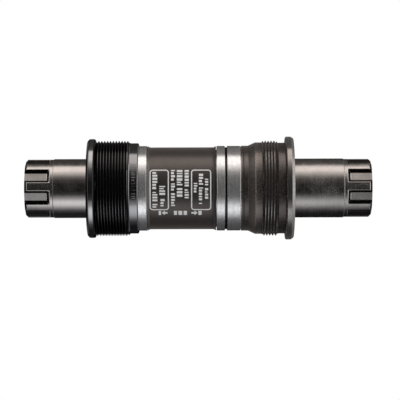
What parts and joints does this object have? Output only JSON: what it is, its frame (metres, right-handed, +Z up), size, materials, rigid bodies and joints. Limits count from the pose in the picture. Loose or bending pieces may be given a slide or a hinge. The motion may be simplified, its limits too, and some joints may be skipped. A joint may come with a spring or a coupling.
{
  "type": "bottom bracket",
  "caption": "Sealed cartridge bottom bracket: hollow splined axle on two caged ball bearings in a sleeve, with a fixed threaded cup and a sliding threaded adapter.",
  "frame": {"origin": "on the axle's axis, at the middle of the 68 mm frame shell: 34 mm left of the inner face of the drive-side flange", "axes": "+X along the axle towards the drive (right-hand) side, +Z up, +Y towards the front of the part away from the printed side"},
  "size_m": [0.126, 0.0378, 0.0378],
  "materials": {
    "axle_steel": "machined, lightly polished hardened steel",
    "polished_steel": "ground and polished bearing steel",
    "ball_steel": "mirror-polished balls",
    "gloss_black": "glossy black coating",
    "dark_cup_steel": "dark brownish-grey plated steel, semi-gloss",
    "sleeve_paint": "satin warm dark grey paint",
    "print_white": "white screen print on the sleeve, added in the visual model",
    "seal_rubber": "matte black seal rubber",
    "cage_polymer": "moulded cage plastic",
    "spring_steel": "dark spring steel"
  },
  "bodies": {
    "cartridge_body": {"center_sleeve": "sleeve_paint", "left_outer_race": "polished_steel", "right_outer_race": "polished_steel", "drive_side_cup": "dark_cup_steel", "left_outer_seal": "seal_rubber", "right_outer_seal": "seal_rubber", "left_inner_shield": "spring_steel", "right_inner_shield": "spring_steel"},
    "spindle": {"axle": "axle_steel", "left_inner_race": "polished_steel", "right_inner_race": "polished_steel", "left_retaining_ring": "spring_steel", "right_retaining_ring": "spring_steel"},
    "left_ball_row": {"left_ball_cage": "cage_polymer", "left_ball_01": "ball_steel", "left_ball_02": "ball_steel", "left_ball_03": "ball_steel", "left_ball_04": "ball_steel", "left_ball_05": "ball_steel", "left_ball_06": "ball_steel", "left_ball_07": "ball_steel", "left_ball_08": "ball_steel", "left_ball_09": "ball_steel", "left_ball_10": "ball_steel", "left_ball_11": "ball_steel", "left_ball_12": "ball_steel", "left_ball_13": "ball_steel", "left_ball_14": "ball_steel", "left_ball_15": "ball_steel"},
    "right_ball_row": {"right_ball_cage": "cage_polymer", "right_ball_01": "ball_steel", "right_ball_02": "ball_steel", "right_ball_03": "ball_steel", "right_ball_04": "ball_steel", "right_ball_05": "ball_steel", "right_ball_06": "ball_steel", "right_ball_07": "ball_steel", "right_ball_08": "ball_steel", "right_ball_09": "ball_steel", "right_ball_10": "ball_steel", "right_ball_11": "ball_steel", "right_ball_12": "ball_steel", "right_ball_13": "ball_steel", "right_ball_14": "ball_steel", "right_ball_15": "ball_steel"},
    "left_adapter": {"left_adapter_cup": "gloss_black"}
  },
  "joints": [
    {"name": "axle_spin", "type": "hinge", "parent": "cartridge_body", "child": "spindle", "pos_m": [0, 0, 0], "axis": [1, 0, 0], "continuous": true},
    {"name": "left_cage_orbit", "type": "hinge", "parent": "cartridge_body", "child": "left_ball_row", "pos_m": [-0.0255, 0, 0], "axis": [1, 0, 0], "continuous": true},
    {"name": "right_cage_orbit", "type": "hinge", "parent": "cartridge_body", "child": "right_ball_row", "pos_m": [0.0255, 0, 0], "axis": [1, 0, 0], "continuous": true},
    {"name": "adapter_slide", "type": "slide", "parent": "cartridge_body", "child": "left_adapter", "axis": [1, 0, 0], "range_m": [-0.042, 0.0013]}
  ],
  "couplings": [
    {"joint": "left_cage_orbit", "follows": "axle_spin", "ratio": 0.4462},
    {"joint": "right_cage_orbit", "follows": "axle_spin", "ratio": 0.4462}
  ]
}
